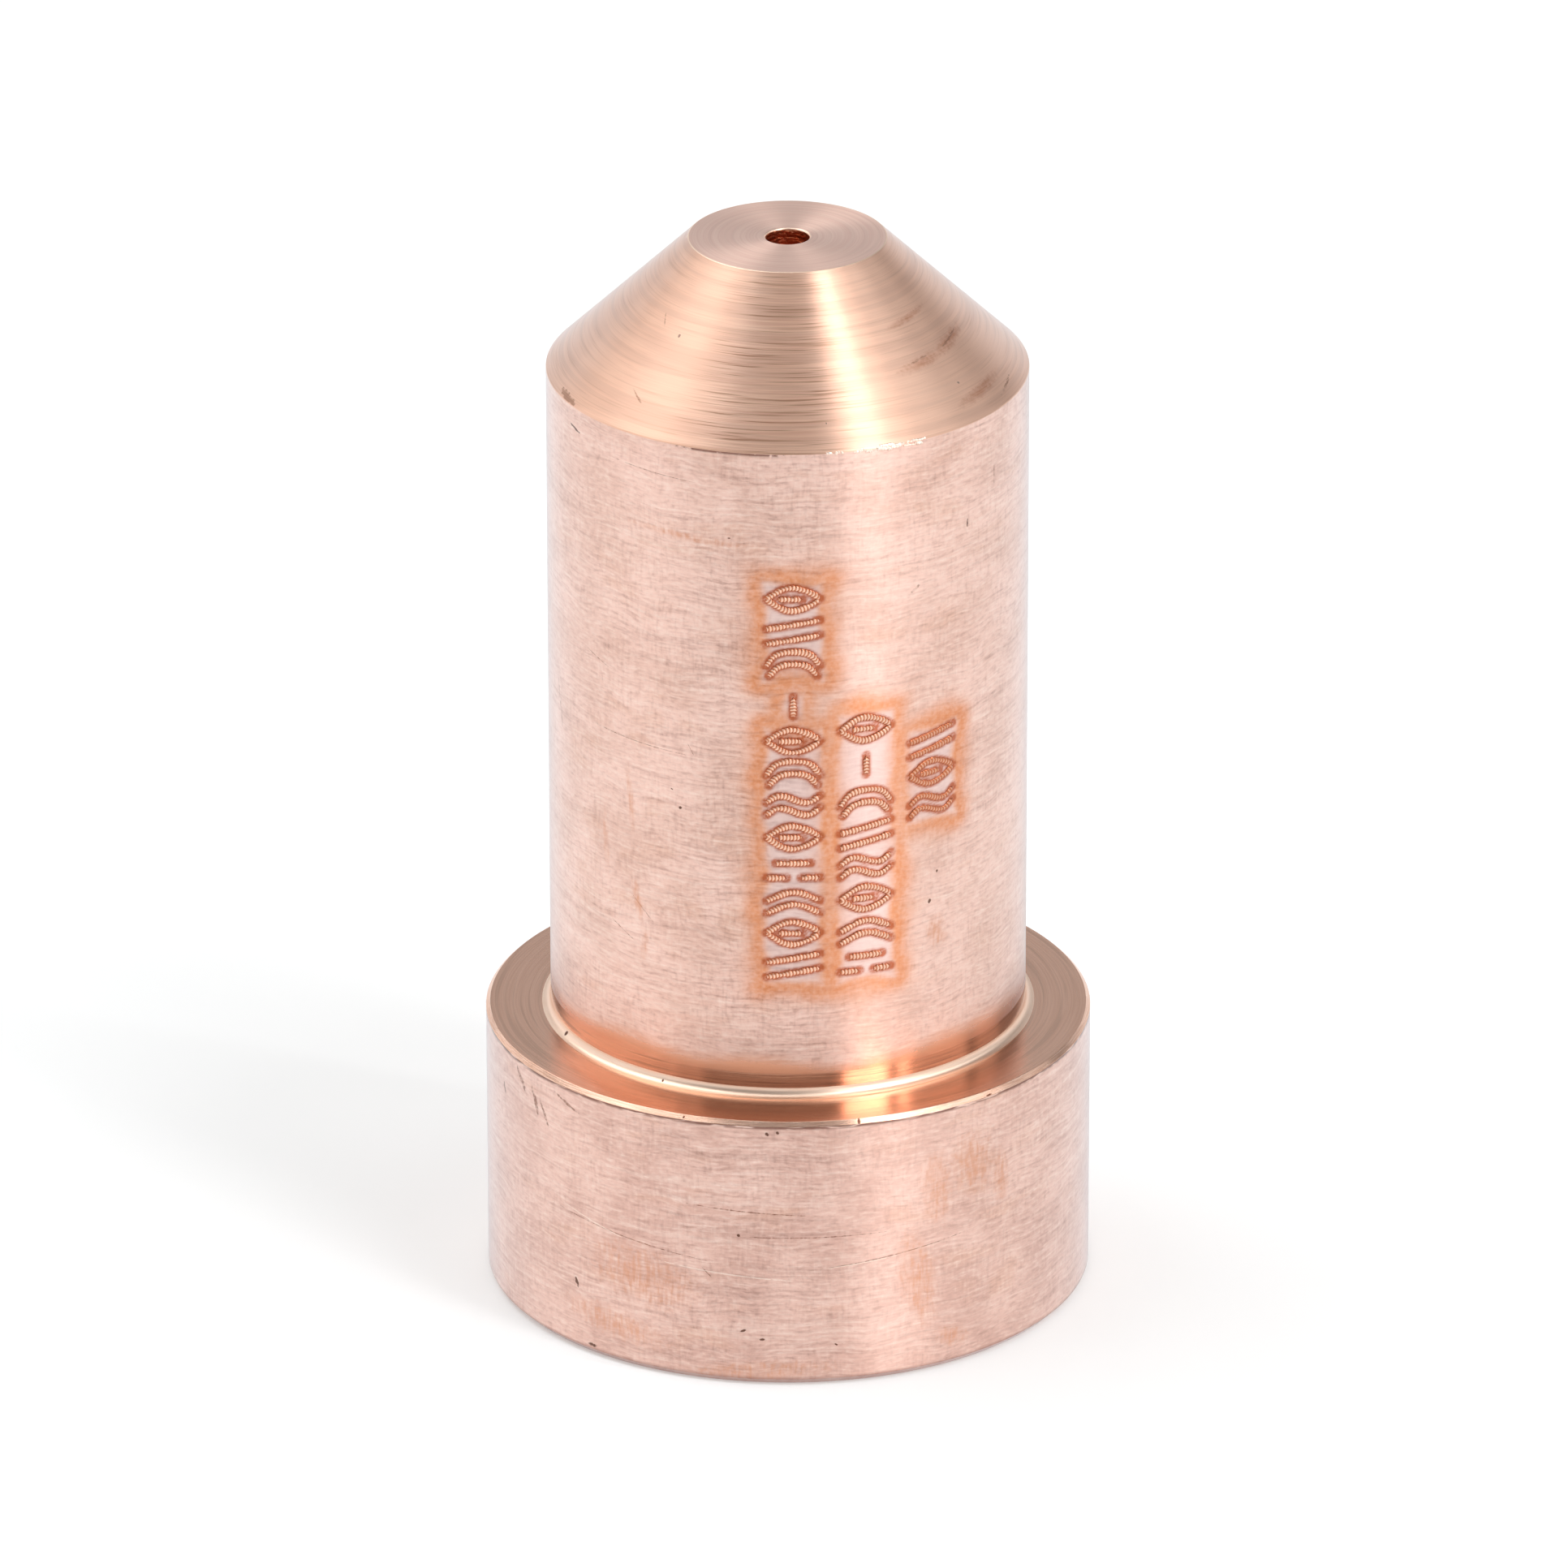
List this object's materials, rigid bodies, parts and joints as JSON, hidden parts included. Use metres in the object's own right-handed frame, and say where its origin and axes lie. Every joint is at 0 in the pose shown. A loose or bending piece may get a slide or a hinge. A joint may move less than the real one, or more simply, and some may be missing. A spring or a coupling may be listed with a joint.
{
  "type": "plasma torch nozzle",
  "caption": "Flanged copper plasma torch nozzle with a straight body, conical nose, narrow arc orifice and a stepped inner chamber.",
  "frame": {"origin": "centre of the base face, on the turning axis", "axes": "+Z along the turning axis, from the flanged base to the nose with the arc orifice"},
  "size_m": [0.014, 0.014, 0.0255],
  "materials": {
    "copper": "fine turned copper, dulled by handling"
  },
  "bodies": {
    "root": {"nozzle": "copper"}
  },
  "joints": []
}
